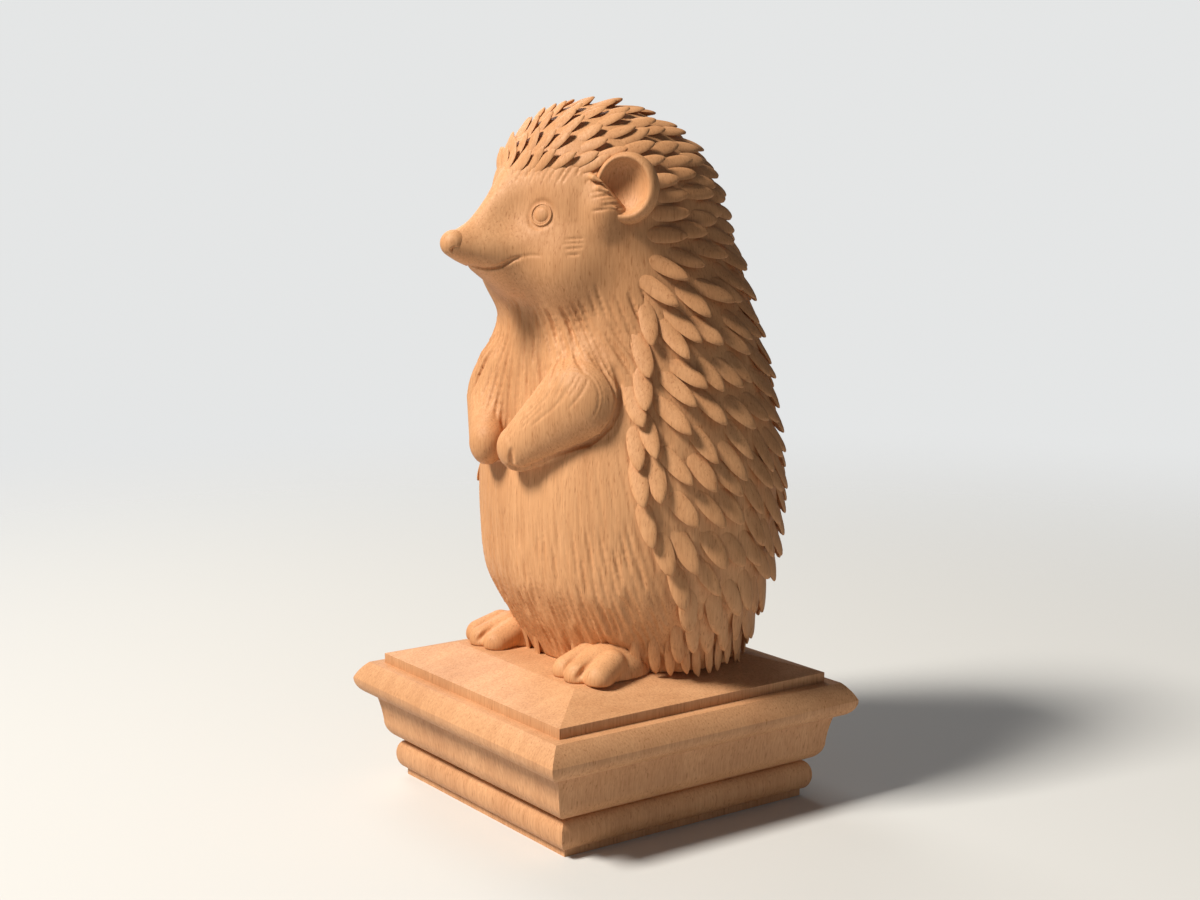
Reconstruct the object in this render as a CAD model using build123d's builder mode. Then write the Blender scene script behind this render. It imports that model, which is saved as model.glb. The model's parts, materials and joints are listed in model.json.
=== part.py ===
from build123d import *

import math
import os

# Carved wooden hedgehog standing upright on a square moulded post cap, built as a joiner and a
# carver would build it: four moulded boards, a glued-up figure and applied ears, arms and feet.
# Millimetres, +Z up, origin at the middle of the underside. The face looks towards -Y and the
# hedgehog's own left is +X.

# Plinth boards, from the underside up
foot_width = 90.0
foot_height = 2.2
bead_height = 9.3
bead_reach = 2.7
quirk_height = 0.4
roll_height = 6.1
roll_reach = 5.5
flare_height = 8.3
flare_reach = 1.7
flare_sag = 0.2
nosing_reach = 5.4
nosing_under_height = 5.4
nosing_over_height = 5.4
nosing_setback = 3.9
nosing_bulge = 0.45
field_width = 100.0
field_height = 3.1
slope_rise = 4.8
seat_width = 66.0

# Fixings of the plinth and the bore for the post's dowel
post_bore_diameter = 12.2
post_bore_depth = 20.0
plinth_dowel_diameter = 8.0
plinth_dowel_pitch = 60.0
plinth_dowel_bite = 5.9
figure_dowel_diameter = 9.0
figure_dowel_pitch = 28.0
figure_dowel_setback = 9.0
figure_dowel_bite = 7.0
figure_dowel_rise = 13.0

# Body and head of the figure, without the quills
figure_height = 169.5
body_width = 104.2
body_depth = 87.6
neck_share = 0.637
core_top_share = 0.925
core_section_count = 19
neck_dowel_diameter = 9.0
neck_dowel_length = 34.0
neck_dowel_setback = 20.0

# Stations up the figure: height, half width, half depth and lean to the back, as shares of the
# figure's height, its half width and its half depth. The crown closes above the last one as a dome.
station_shares = (
    (0.000, 0.747, 0.694, 0.263),
    (0.041, 0.808, 0.763, 0.247),
    (0.089, 0.877, 0.849, 0.224),
    (0.153, 0.958, 0.950, 0.215),
    (0.248, 0.996, 0.995, 0.226),
    (0.336, 1.000, 1.000, 0.233),
    (0.443, 0.954, 0.961, 0.237),
    (0.531, 0.889, 0.920, 0.219),
    (0.620, 0.800, 0.870, 0.200),
    (0.678, 0.740, 0.868, 0.168),
    (0.737, 0.685, 0.845, 0.118),
    (0.796, 0.648, 0.825, 0.062),
)
crown_lean_share = -0.057

# Quill coat. The glue line between the front and the back lamination, seen from the side, is a
# chain of straight runs given as shares of the half depth and of the figure's height. Each run
# carries a number of quill rows, and the last column says how far along the crown and back,
# from the hairline to the hem, the rows of that run reach on the middle line.
glue_line_shares = (
    (-0.105, 0.879, 0.000),
    (0.080, 0.785, 0.254),
    (-0.183, 0.678, 0.368),
    (-0.365, 0.443, 0.544),
    (-0.388, 0.277, 0.667),
    (-0.251, 0.124, 0.825),
    (0.274, 0.022, 1.000),
)
rows_per_run = (10, 5, 7, 4, 5, 7)
hairline_share = 0.900
hem_share = 0.027
quill_columns = 36
quill_lift_share = 0.24
quill_ridge_share = 0.14
quill_overhang_share = 0.10
middle_samples = 240
row_samples = 80
normal_step_share = 0.0001
crown_limit_share = 0.999999

# Face and snout: how far each section stands in front of the axis, its height, half width and
# half height, as shares of the snout's reach, the figure's height, and the face's half size
snout_reach = 54.2
face_width = 56.0
face_height = 49.0
face_shares = (
    (0.332, 0.788, 1.000, 1.000),
    (0.480, 0.785, 0.700, 0.918),
    (0.627, 0.778, 0.470, 0.759),
    (0.738, 0.765, 0.345, 0.514),
    (0.849, 0.755, 0.255, 0.282),
    (0.941, 0.755, 0.180, 0.163),
    (1.000, 0.756, 0.118, 0.106),
)
nose_diameter = 8.4
nose_height_share = 0.759
nose_tenon_diameter = 3.6
nose_tenon_length = 9.0

# Eyes: turned buttons, each in a ringed socket
eye_diameter = 5.6
eye_length = 5.0
eye_dome = 0.8
eye_ring_width = 1.4
eye_ring_depth = 0.8
eye_spread_share = 0.507
eye_reach_share = 0.585
eye_height_share = 0.809
eye_turn = 50.0

# Ears: oval dishes turned half forwards, each on a round tenon that runs straight into the head
ear_width = 17.6
ear_height = 20.8
ear_depth = 6.4
ear_sink = 4.0
ear_bowl_depth = 2.9
ear_rim_width = 1.9
ear_turn = 48.0
ear_spread_share = 0.607
ear_forward_share = 0.306
ear_height_share = 0.853
ear_back_shares = ((0.00, 0.50), (0.50, 0.90), (0.83, 1.00), (1.00, 0.95))
ear_bowl_shares = ((0.00, 0.34), (0.55, 0.80), (1.00, 1.00))
ear_tenon_diameter = 5.0
ear_tenon_length = 5.5

# Arms: spindles scribed to the chest, from the finger tips to the shoulder
arm_tip_shares = (0.092, 0.909, 0.382)
arm_end_shares = (0.591, 0.315, 0.525)
arm_diameter = 23.6
hand_diameter = 14.0
arm_dowel_diameter = 6.0
arm_dowel_length = 15.0
arm_dowel_grip = 7.0
arm_dowel_turn = 27.0
arm_dowel_place_share = 0.56

# Feet: half-round insteps with three toes, turned out a little
foot_length = 32.0
foot_instep = 9.6
foot_spread_share = 0.520
foot_front_share = 0.720
foot_turn = 8.0
toe_diameter = 9.4
toe_pitch = 6.6
toe_setback = 2.2
foot_dowel_diameter = 5.0
foot_dowel_length = 14.0
foot_dowel_grip = 7.0
foot_dowel_rise = 4.2

overrun = 30.0
room_share = 2.0

# Heights of the boards and half sizes of the moulding
base_height = foot_height + bead_height + quirk_height
cove_height = roll_height + flare_height
nosing_height = nosing_under_height + nosing_over_height
cap_height = field_height + slope_rise
cove_bottom = base_height
nosing_bottom = cove_bottom + cove_height
cap_bottom = nosing_bottom + nosing_height
seat_z = cap_bottom + cap_height
foot_half = foot_width / 2
roll_half = foot_half + roll_reach
flare_half = roll_half + flare_reach
nosing_half = flare_half + nosing_reach
ledge_half = nosing_half - nosing_setback
field_half = field_width / 2
seat_half = seat_width / 2
block_reach = nosing_half + overrun
plinth_dowel_half = plinth_dowel_pitch / 2
plinth_dowel_lines = (-plinth_dowel_half, plinth_dowel_half)
plinth_dowel_places = [(x, y) for x in plinth_dowel_lines for y in plinth_dowel_lines]
figure_dowel_half = figure_dowel_pitch / 2
figure_dowel_places = [(x, -figure_dowel_setback) for x in (-figure_dowel_half, figure_dowel_half)]
neck_dowel_place = (0, -neck_dowel_setback)

half_width = body_width / 2
half_depth = body_depth / 2
neck_z = seat_z + neck_share * figure_height
shoulder_height_share = station_shares[-1][0]


def square_up(section):
    """Run a moulding section through the block both ways, so that its corners mitre."""
    extrude(section.sketch, amount=block_reach, both=True)
    turned = section.sketch.rotate(Axis.Z, 90)
    extrude(turned, amount=block_reach, both=True, mode=Mode.INTERSECT)


def drill(plane, diameter, depth, places=((0, 0),)):
    """Round holes at places of a plane, going in from it against its normal."""
    with BuildSketch(plane) as mouths:
        with Locations(*places):
            Circle(diameter / 2)
    extrude(mouths.sketch, amount=-depth, mode=Mode.SUBTRACT)


def through_points(knots, place):
    """Value at one place of a smooth curve through (place, value) knots."""
    last = len(knots) - 1
    index = 0
    while index < last - 1 and place > knots[index + 1][0]:
        index += 1
    left, right = knots[index], knots[index + 1]
    before, after = knots[max(index - 1, 0)], knots[min(index + 2, last)]
    span = right[0] - left[0]
    slope_left = (right[1] - before[1]) / (right[0] - before[0])
    slope_right = (after[1] - left[1]) / (after[0] - left[0])
    t = (place - left[0]) / span
    return (
        (1 + 2 * t) * (1 - t) ** 2 * left[1]
        + t * (1 - t) ** 2 * span * slope_left
        + t**2 * (3 - 2 * t) * right[1]
        + t**2 * (t - 1) * span * slope_right
    )


width_knots = [(row[0], row[1]) for row in station_shares]
depth_knots = [(row[0], row[2]) for row in station_shares]
lean_knots = [(row[0], row[3]) for row in station_shares] + [(1.0, crown_lean_share)]


def skin_section(height_share):
    """Half width, half depth and lean of the smooth figure at one height."""
    below = min(height_share, shoulder_height_share)
    rise = (height_share - below) / (1 - shoulder_height_share)
    closing = math.sqrt(max(1 - rise**2, 0))
    wide = through_points(width_knots, below) * closing * half_width
    deep = through_points(depth_knots, below) * closing * half_depth
    return wide, deep, through_points(lean_knots, height_share) * half_depth


def height_share_at(z):
    return (z - seat_z) / figure_height


def skin_x(y, z):
    """Half width of the smooth figure at one place of its side view."""
    wide, deep, lean = skin_section(height_share_at(z))
    if deep == 0:
        return 0.0
    return wide * math.sqrt(max(1 - ((y - lean) / deep) ** 2, 0))


def between(start, end, share):
    return tuple(a + (b - a) * share for a, b in zip(start, end))


def even_places(points, shares):
    """Points at given shares of a chain's length."""
    lengths = [0.0]
    for start, end in zip(points, points[1:]):
        lengths.append(lengths[-1] + math.dist(start, end))
    places = []
    index = 0
    for share in shares:
        target = share * lengths[-1]
        while index < len(points) - 2 and lengths[index + 1] < target:
            index += 1
        step = lengths[index + 1] - lengths[index]
        places.append(between(points[index], points[index + 1], (target - lengths[index]) / step))
    return places


def middle_line():
    """Side view of the skin on the middle plane, from the hairline over the crown to the hem."""
    dome_share = 1 - shoulder_height_share
    start = math.asin((hairline_share - shoulder_height_share) / dome_share)
    chain = []
    for step in range(middle_samples + 1):
        angle = start + (math.pi - start) * step / middle_samples
        height_share = shoulder_height_share + dome_share * math.sin(angle)
        _, deep, lean = skin_section(height_share)
        side = -1 if angle < math.pi / 2 else 1
        chain.append((lean + side * deep, seat_z + height_share * figure_height))
    for step in range(1, middle_samples + 1):
        fall = (shoulder_height_share - hem_share) * step / middle_samples
        height_share = shoulder_height_share - fall
        _, deep, lean = skin_section(height_share)
        chain.append((lean + deep, seat_z + height_share * figure_height))
    return chain


glue_line = [(row[0] * half_depth, seat_z + row[1] * figure_height) for row in glue_line_shares]


def row_ends():
    """Both ends of every quill row in the side view: on the glue line and on the middle line."""
    edges = []
    shares = []
    for run, count in enumerate(rows_per_run):
        for step in range(count):
            edges.append(between(glue_line[run], glue_line[run + 1], step / count))
            first, last = glue_line_shares[run][2], glue_line_shares[run + 1][2]
            shares.append(first + (last - first) * step / count)
    edges.append(glue_line[-1])
    shares.append(glue_line_shares[-1][2])
    return edges, even_places(middle_line(), shares)


def quill_row(edge, middle):
    """Evenly spaced skin points along one quill row, from the right border to the left one."""
    chain = []
    for step in range(row_samples + 1):
        share = 1 - (1 - step / row_samples) ** 2
        y, z = between(edge, middle, share)
        chain.append((skin_x(y, z), y, z))
    chain[-1] = (0.0, *middle)
    half = quill_columns // 2
    left = even_places(chain, [column / half for column in range(half + 1)])
    right = [(-x, y, z) for x, y, z in left[:-1]]
    return right + left[::-1]


def outward(point):
    """Unit normal of the smooth figure's skin."""
    x, y, z = point
    step = figure_height * normal_step_share
    wide, deep, lean = skin_section(height_share_at(z))
    swell = []
    for level in (z - step, z + step):
        level_share = min(height_share_at(level), crown_limit_share)
        level_wide, level_deep, level_lean = skin_section(level_share)
        swell.append((x / level_wide) ** 2 + ((y - level_lean) / level_deep) ** 2)
    rise = (swell[1] - swell[0]) / (2 * step)
    return Vector(2 * x / wide**2, 2 * (y - lean) / deep**2, rise).normalized()


def facet(*points):
    return Face(Wire.make_polygon(points, close=True))


def quill_facets(root, left, right, foot):
    """Leaf-shaped quill on one diamond of the skin: two sloping pairs and the underside of its tip."""
    root, left, right, foot = (Vector(*point) for point in (root, left, right, foot))
    flow = foot - root
    middle = (root + foot) * 0.5
    ridge = middle + outward(middle) * flow.length * quill_ridge_share
    tip = foot + outward(foot) * flow.length * quill_lift_share + flow * quill_overhang_share
    top = [facet(left, root, ridge), facet(root, right, ridge)]
    top += [facet(tip, left, ridge), facet(tip, ridge, right)]
    return top + [facet(foot, left, tip), facet(foot, tip, right)]


def coat_facets():
    """Closed skin of the back lamination: quills outside, flat glue faces inside."""
    edges, middles = row_ends()
    rows = [quill_row(edge, middle) for edge, middle in zip(edges, middles)]
    last_row = len(rows) - 1
    facets = []
    for i, row in enumerate(rows):
        for j in range(quill_columns + 1):
            if (i + j) % 2 == 0:
                continue
            root = rows[max(i - 1, 0)][j]
            foot = rows[min(i + 1, last_row)][j]
            if i == last_row:
                facets += [facet(row[j - 1], root, foot), facet(root, row[j + 1], foot)]
            elif j == 0:
                facets += [facet(row[0], root, row[1]), facet(foot, row[0], row[1])]
            elif j == quill_columns:
                facets += [facet(row[j - 1], root, row[j]), facet(row[j - 1], row[j], foot)]
            else:
                facets += quill_facets(root, row[j - 1], row[j + 1], foot)
    facets += [facet(*rows[0]), facet(*rows[-1][::-1])]
    start = 0
    for count in rows_per_run:
        run = rows[start : start + count + 1]
        facets.append(facet(*[row[0] for row in run], *[row[-1] for row in run[::-1]]))
        start += count
    return facets


# Plinth boards
with BuildPart() as base_moulding:
    with BuildSketch(Plane.XZ) as base_section:
        with BuildLine():
            bead_start = foot_height + bead_height
            Polyline((0, 0), (foot_half, 0), (foot_half, foot_height))
            EllipticalCenterArc(
                (foot_half, foot_height + bead_height / 2), bead_reach, bead_height / 2, -90, arc_size=180
            )
            Polyline((foot_half, bead_start), (foot_half, base_height), (0, base_height))
            mirror(about=Plane.YZ)
        make_face()
    square_up(base_section)
    drill(Plane.XY.offset(base_height), post_bore_diameter, base_height)
    drill(Plane.XY.offset(base_height), plinth_dowel_diameter, plinth_dowel_bite, plinth_dowel_places)

with BuildPart() as cove_block:
    with BuildSketch(Plane.XZ) as cove_section:
        with BuildLine():
            roll_top = cove_bottom + roll_height
            flare_middle = ((roll_half + flare_half) / 2 - flare_sag, roll_top + flare_height / 2)
            Line((0, cove_bottom), (foot_half, cove_bottom))
            EllipticalCenterArc((foot_half, roll_top), roll_reach, roll_height, -90, arc_size=90)
            ThreePointArc((roll_half, roll_top), flare_middle, (flare_half, nosing_bottom))
            Line((flare_half, nosing_bottom), (0, nosing_bottom))
            mirror(about=Plane.YZ)
        make_face()
    square_up(cove_section)
    drill(Plane.XY.offset(post_bore_depth), post_bore_diameter, post_bore_depth - cove_bottom)
    drill(Plane.XY.offset(nosing_bottom), plinth_dowel_diameter, cove_height, plinth_dowel_places)

with BuildPart() as nosing_board:
    with BuildSketch(Plane.XZ) as nosing_section:
        with BuildLine():
            widest = nosing_bottom + nosing_under_height
            shoulder = ((nosing_half + ledge_half) / 2 + nosing_bulge, widest + nosing_over_height / 2)
            Line((0, nosing_bottom), (flare_half, nosing_bottom))
            EllipticalCenterArc((flare_half, widest), nosing_reach, nosing_under_height, -90, arc_size=90)
            ThreePointArc((nosing_half, widest), shoulder, (ledge_half, cap_bottom))
            Line((ledge_half, cap_bottom), (0, cap_bottom))
            mirror(about=Plane.YZ)
        make_face()
    square_up(nosing_section)
    dowel_top = Plane.XY.offset(nosing_bottom + plinth_dowel_bite)
    drill(dowel_top, plinth_dowel_diameter, plinth_dowel_bite, plinth_dowel_places)
    drill(Plane.XY.offset(cap_bottom), figure_dowel_diameter, figure_dowel_bite, figure_dowel_places)

with BuildPart() as cap_board:
    with BuildSketch(Plane.XZ) as cap_section:
        with BuildLine():
            slope_foot = cap_bottom + field_height
            Polyline((0, cap_bottom), (field_half, cap_bottom), (field_half, slope_foot))
            Polyline((field_half, slope_foot), (seat_half, seat_z), (0, seat_z))
            mirror(about=Plane.YZ)
        make_face()
    square_up(cap_section)
    drill(Plane.XY.offset(seat_z), figure_dowel_diameter, cap_height, figure_dowel_places)

with BuildPart() as plinth_dowels:
    with BuildSketch(Plane.XY.offset(base_height - plinth_dowel_bite)):
        with Locations(*plinth_dowel_places):
            Circle(plinth_dowel_diameter / 2)
    extrude(amount=cove_height + 2 * plinth_dowel_bite)

with BuildPart() as figure_dowels:
    with BuildSketch(Plane.XY.offset(cap_bottom - figure_dowel_bite)):
        with Locations(*figure_dowel_places):
            Circle(figure_dowel_diameter / 2)
    extrude(amount=figure_dowel_bite + cap_height + figure_dowel_rise)

# Quill coat on the rear lamination
with BuildPart() as back_block:
    add(Solid(Shell(coat_facets())))

# Smooth figure that the front pieces are carved from, and the room taken by the rear lamination
with BuildPart() as core:
    for step in range(core_section_count):
        section_share = core_top_share * step / (core_section_count - 1)
        wide, deep, lean = skin_section(section_share)
        with BuildSketch(Plane.XY.offset(seat_z + section_share * figure_height)):
            with Locations((0, lean)):
                Ellipse(wide, deep)
    loft()

with BuildPart() as back_room:
    with BuildSketch(Plane.YZ):
        with BuildLine():
            hairline_end = middle_line()[0]
            hem_end = middle_line()[-1]
            forward = between(glue_line[0], hairline_end, room_share)
            rearward = between(glue_line[-1], hem_end, room_share)
            top = seat_z + figure_height + overrun
            Polyline(forward, *glue_line, rearward, (rearward[0], top), (forward[0], top), close=True)
        make_face()
    extrude(amount=block_reach, both=True)


def on_figure(side, spread, forward, height_share):
    """Point at one side of the figure: out from the middle, forward of the axis, up from the seat."""
    return Vector(side * spread, -forward, seat_z + height_share * figure_height)


def turned_plane(origin, side, turn):
    """Upright plane that looks forward and is turned outward to one side."""
    angle = math.radians(turn)
    facing = Vector(side * math.sin(angle), -math.cos(angle), 0)
    return Plane(origin=origin, x_dir=Vector(0, 0, 1), z_dir=facing)


def eye_plane(side):
    spread = eye_spread_share * face_width / 2
    place = on_figure(side, spread, eye_reach_share * snout_reach, eye_height_share)
    return turned_plane(place, side, eye_turn)


def ear_plane(side):
    """Back plane of the ear's dish."""
    spread = ear_spread_share * half_width
    place = on_figure(side, spread, ear_forward_share * half_depth, ear_height_share)
    return turned_plane(place, side, ear_turn).offset(-ear_sink)


def arm_axis(side):
    """Finger tips and shoulder end of one arm."""
    spread, forward, height_share = arm_tip_shares
    tip = on_figure(side, spread * half_width, forward * half_depth, height_share)
    spread, forward, height_share = arm_end_shares
    return tip, on_figure(side, spread * half_width, forward * half_depth, height_share)


def arm_dowel_plane(side):
    """Outer end of one arm dowel, looking out of the chest."""
    tip, end = arm_axis(side)
    place = tip + (end - tip) * arm_dowel_place_share
    return turned_plane(place, side, arm_dowel_turn).offset(arm_dowel_grip)


def foot_dowel_plane(side):
    """Front end of one foot dowel, which runs straight back into the body."""
    spread = foot_spread_share * half_width
    wide, deep, lean = skin_section(foot_dowel_rise / figure_height)
    seam = lean - deep * math.sqrt(1 - (spread / wide) ** 2)
    return Plane.XZ.offset(foot_dowel_grip - seam).shift_origin(
        (side * spread, seam - foot_dowel_grip, seat_z + foot_dowel_rise)
    )


sides = (1, -1)
neck_plane = Plane.XY.offset(neck_z)

# Nose knob on its tenon
nose_plane = Plane.XZ.offset(snout_reach - nose_diameter / 4)
with BuildPart() as nose:
    with BuildSketch(nose_plane):
        with Locations((0, seat_z + nose_height_share * figure_height)):
            Circle(nose_tenon_diameter / 2)
    extrude(amount=-nose_tenon_length)
    with Locations(on_figure(0, 0, snout_reach - nose_diameter / 4, nose_height_share)):
        Sphere(nose_diameter / 2)

# Head, with sockets for the nose, the eyes, the ear tenons and the neck dowel
with BuildPart() as head_block:
    add(core.part)
    for reach_share, level_share, wide_share, high_share in face_shares:
        with BuildSketch(Plane.XZ.offset(reach_share * snout_reach)):
            with Locations((0, seat_z + level_share * figure_height)):
                Ellipse(wide_share * face_width / 2, high_share * face_height / 2)
    loft()
    split(bisect_by=neck_plane, keep=Keep.TOP)
    add(back_room.part, mode=Mode.SUBTRACT)
    add(nose.part, mode=Mode.SUBTRACT)
    eye_ring_diameter = eye_diameter + 2 * eye_ring_width
    for side in sides:
        drill(eye_plane(side).offset(overrun), eye_ring_diameter, overrun + eye_ring_depth)
        drill(eye_plane(side), eye_diameter, eye_length)
        drill(ear_plane(side).offset(overrun), ear_tenon_diameter, overrun + ear_tenon_length)
    dowel_top = neck_plane.offset(neck_dowel_length / 2)
    drill(dowel_top, neck_dowel_diameter, neck_dowel_length / 2, [neck_dowel_place])

# Chest, belly and base, with holes for the dowels
with BuildPart() as torso_block:
    add(core.part)
    split(bisect_by=neck_plane, keep=Keep.BOTTOM)
    add(back_room.part, mode=Mode.SUBTRACT)
    drill(neck_plane, neck_dowel_diameter, neck_dowel_length / 2, [neck_dowel_place])
    dowel_top = Plane.XY.offset(seat_z + figure_dowel_rise)
    drill(dowel_top, figure_dowel_diameter, figure_dowel_rise, figure_dowel_places)
    for side in sides:
        drill(arm_dowel_plane(side), arm_dowel_diameter, arm_dowel_length)
        drill(foot_dowel_plane(side), foot_dowel_diameter, foot_dowel_length)

with BuildPart() as neck_dowel:
    with BuildSketch(neck_plane):
        with Locations(neck_dowel_place):
            Circle(neck_dowel_diameter / 2)
    extrude(amount=neck_dowel_length / 2, both=True)

with BuildPart() as arm_dowels:
    for side in sides:
        with BuildSketch(arm_dowel_plane(side)):
            Circle(arm_dowel_diameter / 2)
        extrude(amount=-arm_dowel_length)

with BuildPart() as foot_dowels:
    for side in sides:
        with BuildSketch(foot_dowel_plane(side)):
            Circle(foot_dowel_diameter / 2)
        extrude(amount=-foot_dowel_length)


def turn_eye(side):
    """Button with a rounded face, its shank let into the head."""
    plane = eye_plane(side)
    with BuildPart() as eye:
        with BuildSketch(plane.offset(-eye_length)):
            Circle(eye_diameter / 2)
        extrude(amount=eye_length + eye_dome)
        face = eye.faces().sort_by(Axis(plane.origin, plane.z_dir))[-1]
        fillet(face.edges(), eye_dome)
    return eye


def carve_ear(side):
    """Oval dish on a round tenon, scribed to the head."""
    plane = ear_plane(side)
    with BuildPart() as ear:
        for depth_share, size_share in ear_back_shares:
            with BuildSketch(plane.offset(depth_share * ear_depth)):
                Ellipse(size_share * ear_height / 2, size_share * ear_width / 2)
        loft()
        for depth_share, size_share in ear_bowl_shares:
            with BuildSketch(plane.offset(ear_depth + (depth_share - 1) * ear_bowl_depth)):
                Ellipse(
                    size_share * (ear_height / 2 - ear_rim_width),
                    size_share * (ear_width / 2 - ear_rim_width),
                )
        loft(mode=Mode.SUBTRACT)
        with BuildSketch(plane.offset((ear_depth - ear_bowl_depth) / 2)):
            Circle(ear_tenon_diameter / 2)
        extrude(amount=-ear_tenon_length - (ear_depth - ear_bowl_depth) / 2)
        add(head_block.part, mode=Mode.SUBTRACT)
    return ear


def carve_arm(side):
    """Tapered limb, round at the hand and the elbow, scribed to the chest, with its dowel hole."""
    tip, end = arm_axis(side)
    reach = (end - tip).length
    lengthwise = (end - tip).normalized()
    upward = lengthwise.cross(Vector(0, 0, 1)).cross(lengthwise)
    hand_radius = hand_diameter / 2
    elbow_radius = arm_diameter / 2
    elbow_centre = reach - elbow_radius
    taper = math.degrees(math.asin((elbow_radius - hand_radius) / (elbow_centre - hand_radius)))
    with BuildPart() as arm:
        with BuildSketch(Plane(tip, x_dir=lengthwise, z_dir=lengthwise.cross(upward))):
            with BuildLine():
                hand = CenterArc((hand_radius, 0), hand_radius, 180, taper - 90)
                elbow = CenterArc((elbow_centre, 0), elbow_radius, 90 + taper, -90 - taper)
                Line(hand @ 1, elbow @ 0)
                Line(elbow @ 1, hand @ 0)
            make_face()
        revolve(axis=Axis(tip, lengthwise))
        add(core.part, mode=Mode.SUBTRACT)
        drill(arm_dowel_plane(side), arm_dowel_diameter, arm_dowel_length)
    return arm


def carve_foot(side):
    """Half-round instep with three toes, flat below, scribed to the body, with its dowel hole."""
    angle = math.radians(foot_turn)
    rearward = Vector(-side * math.sin(angle), math.cos(angle), 0)
    toe_end = on_figure(side, foot_spread_share * half_width, foot_front_share * half_depth, 0)
    plane = Plane(toe_end, x_dir=rearward, z_dir=Vector(0, 0, 1))
    with BuildPart() as foot:
        with BuildSketch(plane):
            with BuildLine():
                EllipticalCenterArc((foot_length / 2, 0), foot_length / 2, foot_instep, 0, arc_size=180)
                Line((0, 0), (foot_length, 0))
            make_face()
        revolve(axis=Axis(toe_end, rearward))
        with Locations(plane):
            with Locations((toe_setback, 0), (2 * toe_setback, toe_pitch), (2 * toe_setback, -toe_pitch)):
                Sphere(toe_diameter / 2)
        split(bisect_by=plane, keep=Keep.TOP)
        add(core.part, mode=Mode.SUBTRACT)
        drill(foot_dowel_plane(side), foot_dowel_diameter, foot_dowel_length)
    return foot


pieces = {
    "base_moulding": base_moulding,
    "cove_block": cove_block,
    "nosing_board": nosing_board,
    "cap_board": cap_board,
    "plinth_dowels": plinth_dowels,
    "figure_dowels": figure_dowels,
    "torso_block": torso_block,
    "back_block": back_block,
    "head_block": head_block,
    "neck_dowel": neck_dowel,
    "nose": nose,
    "left_eye": turn_eye(1),
    "right_eye": turn_eye(-1),
    "left_ear": carve_ear(1),
    "right_ear": carve_ear(-1),
    "left_arm": carve_arm(1),
    "right_arm": carve_arm(-1),
    "arm_dowels": arm_dowels,
    "left_foot": carve_foot(1),
    "right_foot": carve_foot(-1),
    "foot_dowels": foot_dowels,
}

os.makedirs("parts", exist_ok=True)
for name, piece in pieces.items():
    piece.part.label = name
    export_step(piece.part, f"parts/{name}.step")
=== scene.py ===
import json
import math

import bpy
import numpy as np
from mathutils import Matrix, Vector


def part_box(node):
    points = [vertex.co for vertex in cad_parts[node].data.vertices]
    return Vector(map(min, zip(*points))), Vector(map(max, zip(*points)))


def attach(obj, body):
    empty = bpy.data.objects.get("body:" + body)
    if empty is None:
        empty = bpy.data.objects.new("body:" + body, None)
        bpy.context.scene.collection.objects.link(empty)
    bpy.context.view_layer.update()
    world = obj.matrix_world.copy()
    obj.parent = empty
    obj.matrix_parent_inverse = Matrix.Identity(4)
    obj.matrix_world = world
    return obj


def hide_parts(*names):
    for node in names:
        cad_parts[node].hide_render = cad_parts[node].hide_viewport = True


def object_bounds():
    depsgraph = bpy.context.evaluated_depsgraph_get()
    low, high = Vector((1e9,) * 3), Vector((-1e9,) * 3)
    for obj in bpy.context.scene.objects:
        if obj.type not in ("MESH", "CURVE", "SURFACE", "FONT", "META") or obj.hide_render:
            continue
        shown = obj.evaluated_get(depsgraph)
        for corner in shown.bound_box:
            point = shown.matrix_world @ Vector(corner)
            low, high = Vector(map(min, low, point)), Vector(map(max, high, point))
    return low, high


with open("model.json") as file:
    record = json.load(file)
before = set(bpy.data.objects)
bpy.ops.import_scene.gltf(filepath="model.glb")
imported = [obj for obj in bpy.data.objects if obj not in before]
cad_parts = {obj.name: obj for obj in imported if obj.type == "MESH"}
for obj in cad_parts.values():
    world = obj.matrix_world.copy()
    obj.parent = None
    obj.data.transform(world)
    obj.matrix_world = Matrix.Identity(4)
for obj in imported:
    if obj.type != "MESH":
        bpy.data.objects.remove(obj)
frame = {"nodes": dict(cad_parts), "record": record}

import openvdb
from mathutils import Vector

cad_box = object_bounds()

# Sizes are millimetres in the row's frame: +Z up, the hedgehog faces -Y, its own left side is +X.
# Meshes are scaled to metres when they are made.
mm = 0.001
tiny = 1e-6
sides = (1, -1)
random = np.random.default_rng(7)

# The smooth figure: stations up its height with half width, half depth and lean to the back, as
# shares of the figure's height, half width and half depth
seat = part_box("cap_board")[1].z / mm
figure_height = 169.5
half_width = 52.1
half_depth = 43.8
neck_share = 0.637
neck_z = seat + neck_share * figure_height
stations = (
    (0.000, 0.747, 0.694, 0.263),
    (0.041, 0.808, 0.763, 0.247),
    (0.089, 0.877, 0.849, 0.224),
    (0.153, 0.958, 0.950, 0.215),
    (0.248, 0.996, 0.995, 0.226),
    (0.336, 1.000, 1.000, 0.233),
    (0.443, 0.954, 0.961, 0.237),
    (0.531, 0.889, 0.920, 0.219),
    (0.620, 0.800, 0.870, 0.200),
    (0.678, 0.740, 0.868, 0.168),
    (0.737, 0.685, 0.845, 0.118),
    (0.796, 0.648, 0.825, 0.062),
)
station_heights, station_widths, station_depths, station_leans = zip(*stations)
shoulder_share = station_heights[-1]
crown_lean = -0.057

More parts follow.
